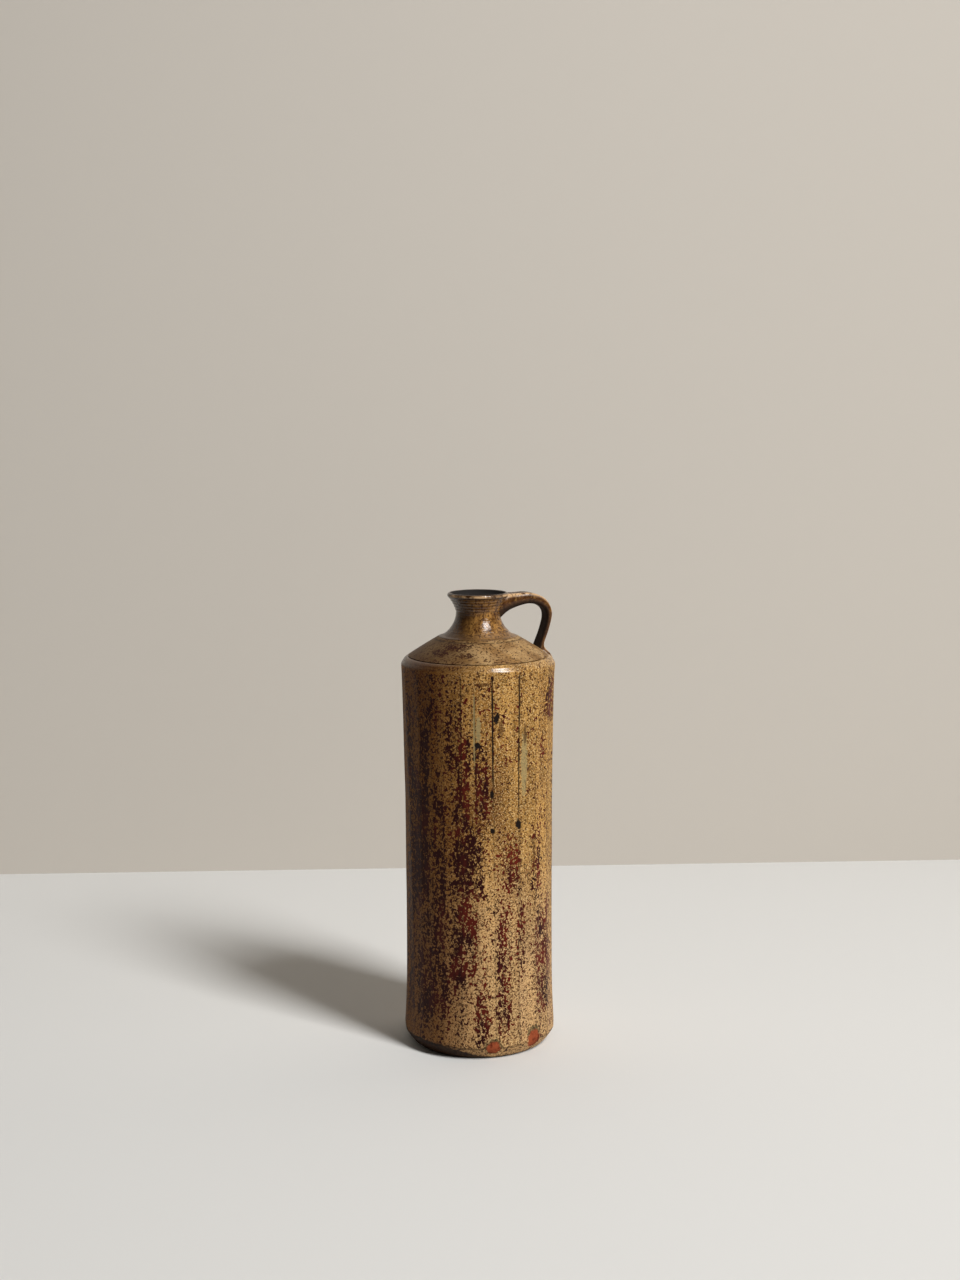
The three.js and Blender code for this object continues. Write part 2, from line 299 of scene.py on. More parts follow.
def set_ring(height, radius, roundness=1.0):
    """Rounds the picked ring, wholly or in part, and brings its mean radius to the one given."""
    centre = (0, 0, height)
    bpy.ops.transform.tosphere(value=roundness, center_override=centre)
    mean = np.mean([place.xy.length for _, place in picked_points()])
    grow = radius / mean
    bpy.ops.transform.resize(value=(grow, grow, 1), center_override=centre)


def turn_corner(index, height, degrees):
    """Turns one corner of the ring about the upright axis. The operator turns the other way round."""
    pick("VERT", lambda vertex: vertex.index == index)
    bpy.ops.transform.rotate(
        value=-math.radians(degrees), orient_axis="Z", orient_type="GLOBAL", center_override=(0, 0, height),
    )


def cut_facets():
    """The wall from heel to corner, with a flat facet between each two knife-cut edges."""
    count = len(KNIFE_EDGES)
    first_corner = 90
    bpy.ops.mesh.primitive_circle_add(vertices=count, radius=HEEL_RADIUS, location=(0, 0, BEVEL_HEIGHT))
    body = open_piece("jug_body")
    for index, (foot, _, _, _) in enumerate(KNIFE_EDGES):
        drawn_at = first_corner + index * 360 / count
        turn_corner(index, BEVEL_HEIGHT, FRONT + foot - drawn_at)
    bpy.ops.mesh.select_all(action="SELECT")
    bpy.ops.mesh.extrude_region_move(TRANSFORM_OT_translate={"value": (0, 0, WALL_RISE)})
    corners = sorted(picked_points())
    for (index, _), (foot, top, _, _) in zip(corners, KNIFE_EDGES):
        turn_corner(index, BODY_TOP, top - foot)

    pick("EDGE", lambda edge: abs(edge.verts[0].co.z - edge.verts[1].co.z) > WALL_RISE / 2)
    bpy.ops.mesh.mark_sharp()
    bpy.ops.mesh.subdivide(number_cuts=BODY_ROWS - 1)
    for height in row_heights():
        pick_height(height)
        set_ring(height, wall_radius(height))

    pick("EDGE", lambda edge: edge.smooth)
    bpy.ops.mesh.subdivide(number_cuts=FACET_CUTS)
    pick("EDGE", lambda edge: not edge.smooth)
    bpy.ops.mesh.bevel(offset=ARRIS, segments=2, profile=0.5, affect="EDGES")
    pick("EDGE", lambda edge: not edge.smooth)
    bpy.ops.mesh.mark_sharp(clear=True)
    return body


def round_corner():
    """The facets run out under the corner, which stays as round as it was thrown."""
    for height in row_heights():
        if height > BODY_TOP - RUN_OUT:
            share = 1 - (BODY_TOP - height) / RUN_OUT
            pick_height(height)
            set_ring(height, wall_radius(height) - RUN_OUT_INSET * (1 - share), share ** 0.7)


def drop_heel():
    """The knife leaves a facet lower on the bevel in its middle than at its edges."""
    body = bpy.context.object
    skin = bmesh.from_edit_mesh(body.data)
    for vertex in skin.verts:
        if vertex.co.z < BEVEL_HEIGHT + NEAR:
            vertex.co.z -= (HEEL_RADIUS - vertex.co.xy.length) * BEVEL_SLOPE
    bmesh.update_edit_mesh(body.data)


def extrude_ring(height, rings):
    """Adds rings of the given radius and height, one after another, to the open ring near a height."""
    close_by = 2 * MM
    pick("EDGE", lambda edge: edge.is_boundary and abs(edge.verts[0].co.z - height) < close_by)
    for radius, new_height in rings:
        bpy.ops.mesh.extrude_region_move()
        level = np.mean([place.z for _, place in picked_points()])
        bpy.ops.transform.resize(value=(1, 1, 0), center_override=(0, 0, level))
        bpy.ops.transform.translate(value=(0, 0, new_height - level))
        set_ring(new_height, radius)


def close_ring():
    """Draws the last ring in to the axis."""
    bpy.ops.mesh.extrude_region_move()
    bpy.ops.mesh.merge(type="CENTER")


def bowed(start, end, bulge, count):
    """Points of a profile between two ends, without the first, bowed to the right of the way it runs."""
    run = Vector(end) - Vector(start)
    side = Vector((run.y, -run.x)).normalized()
    shares = [step / count for step in range(1, count + 1)]
    return [Vector(start) + run * share + side * 4 * bulge * share * (1 - share) for share in shares]


def inner_cone(radius):
    """Height of the shoulder's inner face, one wall below its outer face."""
    down = WALL * math.hypot(1, CONE_SLOPE)
    return SHOULDER_SEAT - down + (BAND_TOP_RADIUS - radius) * CONE_SLOPE


def inner_radius(height):
    """Radius of the shoulder's inner face at a height."""
    return BAND_TOP_RADIUS - (height - inner_cone(BAND_TOP_RADIUS)) / CONE_SLOPE


def turn_band_and_inside():
    """The rounded band, the slip line, the seat of the shoulder, and the inside down to the floor."""
    band = bowed((CORNER_RADIUS, BODY_TOP), (BAND_TOP_RADIUS, SHOULDER_SEAT), BAND_BULGE, 6)
    seat = [
        (BAND_TOP_RADIUS - SEAM_CUT / 2, SHOULDER_SEAT + SEAM_PROUD - SEAM_CUT / 2),
        (BAND_TOP_RADIUS - 2 * SEAM_CUT, SHOULDER_SEAT - SEAM_CUT),
        (inner_radius(SHOULDER_SEAT), SHOULDER_SEAT - SEAM_CUT),
    ]
    curl_radius = CORNER_RADIUS - WALL
    curl_top = inner_cone(curl_radius)
    inside = [(curl_radius - 1.5 * MM, curl_top - 1 * MM), (curl_radius, curl_top - 5 * MM)]
    floor_top = FLOOR + FLOOR_FILLET
    for height in np.linspace(curl_top - 12 * MM, floor_top, 9):
        inside.append((wall_radius(height) - WALL, height))
    floor_radius = wall_radius(floor_top) - WALL
    for turn in np.radians([22, 45, 68, 90]):
        inside.append((
            floor_radius - FLOOR_FILLET * (1 - math.cos(turn)),
            floor_top - FLOOR_FILLET * math.sin(turn),
        ))
    inside += [(floor_radius / 2, FLOOR), (CENTRE_RING, FLOOR)]
    extrude_ring(BODY_TOP, band[:-1] + seat + inside)
    close_ring()


def turn_foot():
    """The bevel under the heel, the trimmed foot and its shallow hollow."""
    bevel = bowed((FOOT_RADIUS, 0), (HEEL_RADIUS, BEVEL_HEIGHT), BEVEL_BULGE, 5)[:-1]
    foot_inside = FOOT_RADIUS - FOOT_RING
    extrude_ring(BEVEL_HEIGHT, bevel[::-1] + [
        (FOOT_RADIUS, 0.35 * MM),
        (FOOT_RADIUS - 0.4 * MM, 0),
        (foot_inside, 0),
        (foot_inside - 1 * MM, FOOT_HOLLOW),
        (foot_inside / 2, FOOT_HOLLOW),
        (CENTRE_RING, FOOT_HOLLOW),
    ])
    close_ring()


def round_from_front(places):
    """For each place on the jug, the degrees round from the front."""
    return np.degrees(np.arctan2(places[:, 1], places[:, 0])) - FRONT


def degrees_apart(one, other):
    """The degrees between two directions, the shorter way round."""
    return np.abs((one - other + 180) % 360 - 180)


def nearest_edges(places):
    """How far each place is from the nearest knife-cut edge, and how deep that edge is scored there."""
    shallow = 0.35
    half_fade = 25
    around = round_from_front(places)
    radius = np.hypot(places[:, 0], places[:, 1])
    height = places[:, 2]
    climb = climb_of(height)
    distance = np.full(len(places), np.inf)
    score = np.zeros(len(places))
    for foot, top, depth, reach in KNIFE_EDGES:
        away = np.radians(degrees_apart(around, foot + (top - foot) * climb)) * radius
        nearer = away < distance
        distance[nearer] = away[nearer]
        deep = soft_step(height, (reach - half_fade) * MM, (reach + half_fade) * MM)
        score[nearer] = (depth * (shallow + (1 - shallow) * deep))[nearer]
    return distance, score


def facet_tone_and_shade(places):
    """A tone of its own for each facet, from 0 to 1: partly a tint of the glaze and partly painted shade,
    standing in for the light that each flat facet catches differently.
    """
    tones = 5
    stride = 7
    around = round_from_front(places) % 360
    climb = climb_of(places[:, 2])
    passed = np.zeros(len(places), dtype=int)
    for foot, top, _, _ in KNIFE_EDGES:
        passed += around > (foot + (top - foot) * climb) % 360
    return (passed % len(KNIFE_EDGES) * stride % tones) / (tones - 1)


def iron_at(places):
    """How much iron lies in the glaze at each place, from 0 to about 1."""
    between_streaks = 0.12
    foot_fade = 9
    head_fade = 14
    around = round_from_front(places)
    height = places[:, 2]
    iron = np.full(len(places), between_streaks)
    for middle, half, low, high, strength in IRON_STREAKS:
        across = 1 - soft_step(degrees_apart(around, middle), half * 0.55, half * 1.35)
        above_foot = soft_step(height, (low - foot_fade) * MM, (low + foot_fade) * MM)
        above_head = soft_step(height, (high - head_fade) * MM, (high + head_fade) * MM)
        iron = np.maximum(iron, strength * across * above_foot * (1 - above_head))
    return iron


def make_body():
    """The faceted body with its scores, and what its glaze reads: edges, iron, and the tone and painted shade
    of each facet.
    """
    body = cut_facets()
    round_corner()
    drop_heel()
    turn_band_and_inside()
    turn_foot()
    close_piece()
    apply_modifier(body, "SUBSURF", levels=1, render_levels=1, use_limit_surface=False)

    places = places_of(body)
    height = places[:, 2]
    outside = np.hypot(places[:, 0], places[:, 1]) > WAIST_RADIUS - WALL / 2
    outside = outside & (height < BODY_TOP + BAND_HEIGHT / 2)
    above_foot = soft_step(height, 0.5 * MM, 6 * MM)
    make_uneven(body, size=35 * MM, depth=0.3 * MM, weights=outside * above_foot)
    distance, score = nearest_edges(places)
    facets = outside * soft_step(height, BEVEL_HEIGHT - 1 * MM, BEVEL_HEIGHT + 2 * MM)
    facets = facets * (1 - soft_step(height, BODY_TOP - 3 * MM, BODY_TOP))
    weigh(body, "score", facets * score * np.exp(-(distance / SCORE_WIDTH) ** 2))
    apply_modifier(body, "DISPLACE", strength=-SCORE_DEPTH, mid_level=0.0, vertex_group="score")
    body.vertex_groups.clear()

    remember(body, "edge_distance", distance)
    remember(body, "edge_score", score * facets)
    remember(body, "iron", iron_at(places) * facets)
    remember(body, "facet_tone_and_shade", 0.5 + (facet_tone_and_shade(places) - 0.5) * facets)
    return body


# Thrown pieces

def throw(name, profile):
    """Turns a closed profile of (radius, height) points round the upright axis."""
    bpy.ops.object.select_all(action="DESELECT")
    bpy.ops.mesh.primitive_plane_add(size=1 * MM)
    piece = open_piece(name)
    bpy.ops.mesh.select_mode(type="VERT")
    bpy.ops.mesh.select_all(action="SELECT")
    bpy.ops.mesh.merge(type="CENTER")
    points = [Vector(point) for point in profile]
    bpy.ops.transform.translate(value=(points[0].x, 0, points[0].y))
    for here, there in zip(points, points[1:]):
        step = there - here
        bpy.ops.mesh.extrude_vertices_move(TRANSFORM_OT_translate={"value": (step.x, 0, step.y)})
    bpy.ops.mesh.select_all(action="SELECT")
    bpy.ops.mesh.spin(steps=THROWN_STEPS, angle=math.tau, center=(0, 0, 0), axis=(0, 0, 1))
    close_piece()
    return piece


def make_shoulder():
    """The cone from the slip line to the neck, with the double line that a rib left under the neck."""
    foot = (BAND_TOP_RADIUS, SHOULDER_SEAT)
    top = (NECK_BASE_RADIUS, NECK_SEAT)
    outside = bowed(foot, top, CONE_BULGE, CONE_ROWS)
    for row, depth in RIB_LINES:
        outside[row] -= Vector((CONE_SLOPE, 1)).normalized() * depth * MM
    profile = [
        (inner_radius(SHOULDER_SEAT), SHOULDER_SEAT),
        (BAND_TOP_RADIUS - 2 * SEAM_CUT, SHOULDER_SEAT),
        (BAND_TOP_RADIUS - SEAM_CUT, SHOULDER_SEAT + 0.3 * SEAM_CUT),
        *outside[:-1],
        (NECK_BASE_RADIUS, NECK_SEAT - SEAM_CUT),
        (NECK_BASE_RADIUS - SEAM_CUT, NECK_SEAT),
        (inner_radius(NECK_SEAT), NECK_SEAT),
    ]
    profile.append(profile[0])
    shoulder = throw("jug_shoulder", profile)
    make_uneven(shoulder, size=14 * MM, depth=0.16 * MM)
    return shoulder


def flare(narrow, wide, power, share):
    """A point (radius, height) of a curve that widens by a power from its narrow end to its wide one."""
    return (
        narrow[0] + (wide[0] - narrow[0]) * share ** power,
        narrow[1] + (wide[1] - narrow[1]) * share,
    )


def lip_point(degrees):
    """A point of the lip's round, at 0 degrees on its outer edge and at 90 on its crest."""
    turn = math.radians(degrees)
    return (
        LIP_RADIUS + LIP_THICKNESS / 2 * (math.cos(turn) - 1),
        RIM + LIP_HEIGHT / 2 * (math.sin(turn) - 1),
    )


def neck_outside(inset=0.0):
    """The neck's outline from its seat to the crest of the lip, drawn in by an inset."""
    points = [(NECK_BASE_RADIUS - SEAM_CUT, NECK_SEAT)]
    ledge = NECK_SEAT + COLLAR
    for share in np.linspace(0, 1, 4):
        points.append((
            NECK_BASE_RADIUS - SEAM_CUT * 2 - (NECK_BASE_RADIUS - NECK_FOOT_RADIUS - 3 * SEAM_CUT) * share,
            NECK_SEAT + COLLAR * (0.3 + 0.5 * share ** 0.5),
        ))
    waist = (NECK_WAIST_RADIUS, NECK_WAIST)
    for share in np.linspace(1, 0, 20):
        points.append(flare(waist, (NECK_FOOT_RADIUS, ledge), FOOT_FLARE, share))
    under_lip = (LIP_RADIUS - LIP_GROOVE, RIM - LIP_HEIGHT)
    for share in np.linspace(0, 1, 8 * THROWING_RINGS)[1:]:
        radius, height = flare(waist, under_lip, MOUTH_FLARE, share)
        ring = RING_DEPTH * math.sin(math.pi * THROWING_RINGS * share) ** 2
        points.append((radius - ring, height))
    points += [lip_point(degrees) for degrees in np.linspace(-63, 90, 12)]
    return [(radius - inset, height) for radius, height in points]


def make_neck():
    """The flared foot, waist, throwing rings, lip and bore of the neck."""
    throat = (BORE_RADIUS, NECK_WAIST)
    funnel_top = (LIP_RADIUS - LIP_THICKNESS, RIM - LIP_HEIGHT / 2)
    throat_foot = (inner_radius(NECK_SEAT), NECK_SEAT)
    inside = [lip_point(degrees) for degrees in (112, 135, 158)]
    inside += [flare(throat, funnel_top, MOUTH_FLARE, share) for share in np.linspace(1, 0, 16)]
    inside += [flare(throat, throat_foot, FOOT_FLARE, share) for share in np.linspace(0, 1, 10)[1:]]
    profile = neck_outside() + inside
    profile.append(profile[0])
    neck = throw("jug_neck", profile)
    make_uneven(neck, size=9 * MM, depth=0.2 * MM)
    remember(neck, "inside", facing_in(neck))
    return neck


# Handle

def above_cone(radius, proud):
    """A point that stands proud of the shoulder's cone by a distance."""
    normal = Vector((CONE_SLOPE, 1)).normalized()
    return Vector((radius, SHOULDER_SEAT + (BAND_TOP_RADIUS - radius) * CONE_SLOPE)) + normal * proud


def above_band(share, proud):
    """A point that stands proud of the band, from 0 at the shoulder's foot to 1 at the corner."""
    foot = Vector((BAND_TOP_RADIUS, SHOULDER_SEAT))
    corner = Vector((CORNER_RADIUS, BODY_TOP))
    normal = Vector((BAND_HEIGHT, CORNER_RADIUS - BAND_TOP_RADIUS)).normalized()
    return foot.lerp(corner, share) + normal * proud


def strap_stations():
    """Along the strap: a point of its outer face, a point of its inner face, and its width there."""
    under_crown = CROWN - CROWN_THICKNESS
    inside = STRAP_REACH - STRAP_THICKNESS
    root_foot = RIM - ROOT_DEPTH
    root_core = NECK_WAIST_RADIUS / 2
    root_edge = NECK_WAIST_RADIUS + ROOT_TOE / 2
    root_end = LIP_RADIUS + ROOT_SWEEP
    elbow = STRAP_REACH - ELBOW_RUN
    leg = GRIP - LEG_DROP
    buried = -WALL / 2
    return [
        ((root_core, CROWN), (root_core, root_foot - ROOT_TOE), ROOT_WIDTH),
        ((root_edge, CROWN), (root_edge, root_foot + ROOT_TOE), ROOT_WIDTH),
        (
            (root_end, CROWN),
            (root_end, under_crown - ROOT_OVERHANG),
            STRAP_WIDTH + (ROOT_WIDTH - STRAP_WIDTH) / 4,
        ),
        ((elbow, CROWN), (elbow, under_crown - ELBOW_DROP * 0.27), STRAP_WIDTH),
        (
            (STRAP_REACH - ELBOW_DROP * 1.3, CROWN - ELBOW_DROP),
            (inside - ELBOW_DROP * 0.8, under_crown - ELBOW_DROP * 0.95),
            STRAP_WIDTH,
        ),
        ((STRAP_REACH, GRIP), (inside - ELBOW_DROP * 0.08, GRIP - ELBOW_DROP * 0.7), STRAP_WIDTH),
        ((STRAP_REACH - LEG_LEAN, leg), (inside - LEG_LEAN, leg), STRAP_WIDTH),
        (
            above_cone(LANDING_RADIUS, LANDING_RISE),
            above_cone(LANDING_RADIUS - STRAP_THICKNESS * 0.6, LANDING_RISE / 3),
            STRAP_WIDTH + (TAIL_WIDTH - STRAP_WIDTH) / 5,
        ),
        (
            above_cone(LANDING_RADIUS + TAIL_THICKNESS, TAIL_THICKNESS),
            above_cone(LANDING_RADIUS - TAIL_THICKNESS / 2, buried),
            (STRAP_WIDTH + TAIL_WIDTH) / 2,
        ),
        (above_band(0.25, TAIL_THICKNESS * 0.7), above_band(0, buried), TAIL_WIDTH),
        (above_band(0.8, TAIL_THICKNESS * 0.4), above_band(0.6, buried), TAIL_WIDTH * 0.94),
        (above_band(1, 0.1 * MM), above_band(0.9, buried), TAIL_WIDTH * 0.8),
    ]


def smooth_run(values, share):
    """A point of the smooth curve that passes through all the values, at a share of the way along."""
    values = [np.array(value, dtype=float) for value in values]
    values = [2 * values[0] - values[1]] + values + [2 * values[-1] - values[-2]]
    place = share * (len(values) - 3)
    start = min(int(place), len(values) - 4)
    t = place - start
    a, b, c, d = values[start:start + 4]
    slope = (c - a) * t
    bend = (2 * a - 5 * b + 4 * c - d) * t ** 2
    twist = (3 * b - a - 3 * c + d) * t ** 3
    return 0.5 * (2 * b + slope + bend + twist)


def smooth_line(stations, part, shares):
    """One part of the stations, such as the outer face, at each of some shares of the strap's length."""
    return [smooth_run([station[part] for station in stations], share) for share in shares]


def scale_width(scale):
    """Makes what is picked narrower or wider about the strap's middle plane."""
    bpy.ops.transform.resize(value=(1, scale, 1), center_override=(0, 0, 0))


def start_strap(row, width):
    """The first section of the strap: a grid that stands across it, a little narrower at its two faces."""
    bpy.ops.object.select_all(action="DESELECT")
    bpy.ops.mesh.primitive_grid_add(x_subdivisions=2, y_subdivisions=4, size=1, rotation=(0, -math.pi / 2, 0))
    handle = open_piece("jug_handle")
    bpy.ops.mesh.select_all(action="SELECT")
    outer, middle, inner = row
    depth = outer[1] - inner[1]
    bpy.ops.transform.resize(value=(1, width, depth))
    bpy.ops.transform.translate(value=(middle[0], 0, middle[1]))
    pick("VERT", lambda vertex: abs(vertex.co.z - middle[1]) > depth / 4)
    scale_width(FACE_WIDTH)
    bpy.ops.mesh.select_all(action="SELECT")
    return handle


def pull_strap(before, after, widening):
    """Draws the last section of the strap out to the next row of points, and widens it."""
    bpy.ops.mesh.extrude_region_move()
    section = picked_points()
    for old, new in zip(before, after):
        row = {index for index, place in section if math.dist((place.x, place.z), old) < NEAR}
        pick("VERT", lambda vertex: vertex.index in row)
        step = new - old
        bpy.ops.transform.translate(value=(step[0], 0, step[1]))
    indices = {index for index, _ in section}
    pick("VERT", lambda vertex: vertex.index in indices)
    scale_width(widening)


def press_groove(spine):
    """The groove that the thumb drew along the middle of the outer face."""
    def on_spine(vertex):
        place = (vertex.co.x, vertex.co.z)
        return abs(vertex.co.y) < NEAR and any(math.dist(place, point) < NEAR for point in spine)

    bpy.ops.mesh.select_all(action="SELECT")
    bpy.ops.mesh.normals_make_consistent(inside=False)
    pick("VERT", on_spine)
    bpy.ops.transform.shrink_fatten(value=-THUMB_GROOVE)


def make_handle():
    """The pulled strap: a section drawn along the stations, row by row, smoothed and trimmed at the neck."""
    stations = strap_stations()
    shares = [step / STRAP_STEPS for step in range(STRAP_STEPS + 1)]
    outer, inner, widths = (smooth_line(stations, part, shares) for part in range(3))
    rows = [(a, (a + b) / 2, b) for a, b in zip(outer, inner)]
    handle = start_strap(rows[0], widths[0])
    for before, after, old_width, width in zip(rows, rows[1:], widths, widths[1:]):
        pull_strap(before, after, width / old_width)
    groove_start, groove_end = GROOVE_RUN
    press_groove([point for share, point in zip(shares, outer) if groove_start < share < groove_end])
    close_piece()
    apply_modifier(handle, "SUBSURF", levels=2, render_levels=2)
    make_uneven(handle, size=8 * MM, depth=0.25 * MM)
    trim_root(handle)
    mark_strap(handle, stations)
    return handle


def mark_strap(handle, stations):
    """Where the strap's edges are turned up, where its back is hollowed, and where it faces the finger."""
    places = places_of(handle)
    flat = places[:, [0, 2]]
    reach = []
    for part in range(2):
        line = np.array(smooth_line(stations, part, np.linspace(0, 1, 400)))
        reach.append(np.min(np.linalg.norm(flat[:, None] - line[None], axis=2), axis=1))
    to_outer, to_inner = reach
    across = np.abs(places[:, 1]) / STRAP_WIDTH
    outward = to_inner / (to_inner + to_outer)
    remember(handle, "strap_edge", soft_step(across, 0.26, 0.36) * soft_step(outward, 0.74, 0.92))
    remember(handle, "strap_back", soft_step(across, 0.35, 0.24) * soft_step(outward, 0.6, 0.9))
    remember(handle, "strap_inside", soft_step(outward, 0.5, 0.2))


def drop_flaps():
    """Deletes the folded slivers that a cut can leave, each of which hangs by one edge at most."""
    bpy.ops.mesh.select_all(action="SELECT")
    bpy.ops.mesh.dissolve_degenerate(threshold=SLIVER)
    bpy.ops.mesh.quads_convert_to_tris()
    bpy.ops.mesh.remove_doubles(threshold=MERGE)
    pick("FACE", lambda face: sum(edge.is_boundary for edge in face.edges) > 1)
    bpy.ops.mesh.delete(type="FACE")


def trim_root(handle):
    """Cuts the root off inside the wall of the neck, where it can't be seen."""
    outline = neck_outside(ROOT_BURIED)
    crest = (0, outline[-1][1])
    cutter = throw("root_cutter", [(0, NECK_SEAT), *outline, crest])
    apply_modifier(handle, "BOOLEAN", object=cutter, operation="DIFFERENCE", solver="EXACT")
    bpy.data.objects.remove(cutter)
    bpy.ops.object.mode_set(mode="EDIT")
    drop_flaps()
    close_piece()


# Glazes

def tone(red, green, blue):
    """A colour as it looks on a screen, 0 to 255, in the linear values that shaders use."""
    shares = [value / 255 for value in (red, green, blue)]
    linear = [share / 12.92 if share < 0.04045 else ((share + 0.055) / 1.055) ** 2.4 for share in shares]
    return (*linear, 1.0)


# Grounds of the body, from its lightest to its darkest
STRAW = tone(244, 208, 150)
SAND = tone(214, 174, 128)
OCHRE = tone(202, 152, 80)
TAN = tone(162, 116, 54)
OLIVE = tone(104, 76, 26)
AMBER = tone(96, 52, 8)
UMBER = tone(84, 48, 12)

# Iron
RUST = tone(94, 26, 10)
MAROON = tone(42, 6, 4)
SPECK = tone(54, 22, 8)

# Scores, pits, runs, a brown for painted shade and for the darker lip, and the marks on the foot
SCORE = tone(24, 14, 8)
PALE_RUN = tone(150, 134, 92)
SHADE_AND_LIP_BROWN = tone(52, 30, 10)
BURNT_GLAZE = tone(26, 11, 6)
MOSS = tone(62, 56, 32)
BARE_CLAY = tone(152, 76, 46)
BURNT_CLAY = tone(92, 34, 18)

# Shoulder, neck and handle
SHOULDER_TAN = tone(178, 144, 98)
SHOULDER_DUSK = tone(136, 102, 62)
NECK_OCHRE = tone(184, 134, 68)
NECK_BROWN = tone(70, 38, 12)
# Painted shade for the inside of the mouth and the strap's inner face
INNER_SHADE = tone(16, 8, 4)
HANDLE_OCHRE = tone(92, 58, 26)
HANDLE_BROWN = tone(64, 36, 14)


def add(tree, kind, inputs=None, **settings):
    """A node with its settings made and its inputs filled."""
    node = tree.nodes.new(kind)
    for name, value in settings.items():
        setattr(node, name, value)
    for name, value in (inputs or {}).items():
        fill(tree, node.inputs[name], value)
    return node


def fill(tree, socket, value):
    """Links a socket to another socket, or gives it a plain value."""
    if isinstance(value, bpy.types.NodeSocket):
        tree.links.new(value, socket)
    else:
        socket.default_value = value


def sums(tree, operation, *values):
    """Arithmetic on one, two or three values."""
    return add(tree, "ShaderNodeMath", dict(enumerate(values)), operation=operation).outputs[0]


def vectors(tree, operation, *values):
    """Arithmetic on vectors that gives a vector."""
    return add(tree, "ShaderNodeVectorMath", dict(enumerate(values)), operation=operation).outputs[0]


def share_of(tree, mask, strength):
    """A mask made weaker."""
    return sums(tree, "MULTIPLY", mask, strength)


def swing(tree, pattern, reach):
    """A pattern of mean a half, as a swing about zero."""
    return sums(tree, "MULTIPLY", sums(tree, "SUBTRACT", pattern, 0.5), reach)


def added_up(tree, start, *layers):
    """A value with masks added to it, each by its weight."""
    total = start
    for mask, weight in layers:
        total = sums(tree, "MULTIPLY_ADD", mask, weight, total)
    return total


def between(tree, value, low, high):
    """0 below the low value, 1 above the high one, and a soft step from one to the other."""
    inputs = {"Value": value, "From Min": low, "From Max": high}
    return add(tree, "ShaderNodeMapRange", inputs, interpolation_type="SMOOTHSTEP").outputs["Result"]


def near_height(tree, height, middle, core, rim):
    """1 within the core's distance of a middle height, and 0 past the rim's."""
    away = sums(tree, "ABSOLUTE", sums(tree, "SUBTRACT", height, middle))
    return between(tree, away, rim, core)


def washed(tree, ground, *washes):
    """Lays washes over a ground, one after another: where each lies, its colour and how strong it is."""
    colour = ground
    for mask, over, strength in washes:
        if strength < 1:
            mask = share_of(tree, mask, strength)
        inputs = {"Factor": mask, 6: colour, 7: over}
        colour = add(tree, "ShaderNodeMix", inputs, data_type="RGBA").outputs[2]
    return colour


def height_of(tree, place):
    return add(tree, "ShaderNodeSeparateXYZ", {0: place}).outputs["Z"]


def remembered(tree, name):
    """The value that the piece's own mesh holds under a name."""
    return add(tree, "ShaderNodeAttribute", attribute_name=name).outputs["Fac"]


def scaled(tree, vector, across, along):
    """A place drawn out: numbers under 1 make a pattern longer that way."""
    return vectors(tree, "MULTIPLY", vector, (across, across, along))


def noise(tree, vector, size, across=1, along=1, detail=3.0, roughness=0.6):
    """Lumps about as large as the size, or drawn out, from 0 to 1 with a mean of a half."""
    vector = scaled(tree, vector, across, along)
    inputs = {"Vector": vector, "Scale": 1 / size, "Detail": detail, "Roughness": roughness}
    return add(tree, "ShaderNodeTexNoise", inputs).outputs["Fac"]


def new_group(name, inputs, outputs):
    """An empty node group with named sockets: a value where the default is a number, otherwise a vector."""
    tree = bpy.data.node_groups.new(name, "ShaderNodeTree")
    for socket, default in inputs.items():
        is_value = isinstance(default, float)
        kind = "NodeSocketFloat" if is_value else "NodeSocketVector"
        made = tree.interface.new_socket(socket, in_out="INPUT", socket_type=kind)
        if default is not None:
            made.default_value = default
    for socket in outputs:
        tree.interface.new_socket(socket, in_out="OUTPUT", socket_type="NodeSocketFloat")
    return tree, tree.nodes.new("NodeGroupInput").outputs, tree.nodes.new("NodeGroupOutput").inputs


def use(tree, group, output, **inputs):
    """Places a node group in a material and gives back one of its outputs."""
    node = add(tree, "ShaderNodeGroup", node_tree=group)
    for name, value in inputs.items():
        fill(tree, node.inputs[name.title()], value)
    return node.outputs[output]


def iron_speckle_group():
    """Ragged flecks of iron that cover more of the surface as the cover rises from 0 to 1."""
    bare_level = 0.705
    full_drop = 0.3
    soft_edge = 0.025
    inputs = {"Vector": None, "Size": 1 * MM, "Cover": 0.2, "Drawn": 0.7}
    tree, given, out = new_group("iron_speckle", inputs, ["Mask"])
    stretch = add(tree, "ShaderNodeCombineXYZ", {"X": 1.0, "Y": 1.0, "Z": given["Drawn"]}).outputs[0]
    place = vectors(tree, "MULTIPLY", given["Vector"], stretch)
    scale = sums(tree, "DIVIDE", 1.0, given["Size"])
    lumps = {"Vector": place, "Scale": scale, "Detail": 1.5, "Roughness": 0.5, "Distortion": 0.6}
    flecks = add(tree, "ShaderNodeTexNoise", lumps).outputs["Fac"]
    level = sums(tree, "MULTIPLY_ADD", given["Cover"], -full_drop, bare_level)
    edge = sums(tree, "ADD", level, soft_edge)
    tree.links.new(between(tree, flecks, level, edge), out["Mask"])
    return tree


def glaze_skin_group():
    """The height of a glaze's skin: fine orange peel and a soft swell, with a few pinholes."""
    hole_spacing = 3.5 * MM
    tree, given, out = new_group("glaze_skin", {"Vector": None}, ["Height"])
    peel = noise(tree, given["Vector"], size=0.9 * MM, detail=2.0)
    swell = noise(tree, given["Vector"], size=4 * MM, detail=1.0, roughness=0.5)
    cells = {"Vector": given["Vector"], "Scale": 1 / hole_spacing, "Randomness": 1.0}
    from_hole = add(tree, "ShaderNodeTexVoronoi", cells).outputs["Distance"]
    unbroken = between(tree, from_hole, 0.04, 0.1)
    tree.links.new(added_up(tree, peel, (swell, 1.2), (unbroken, 0.5)), out["Height"])
    return tree


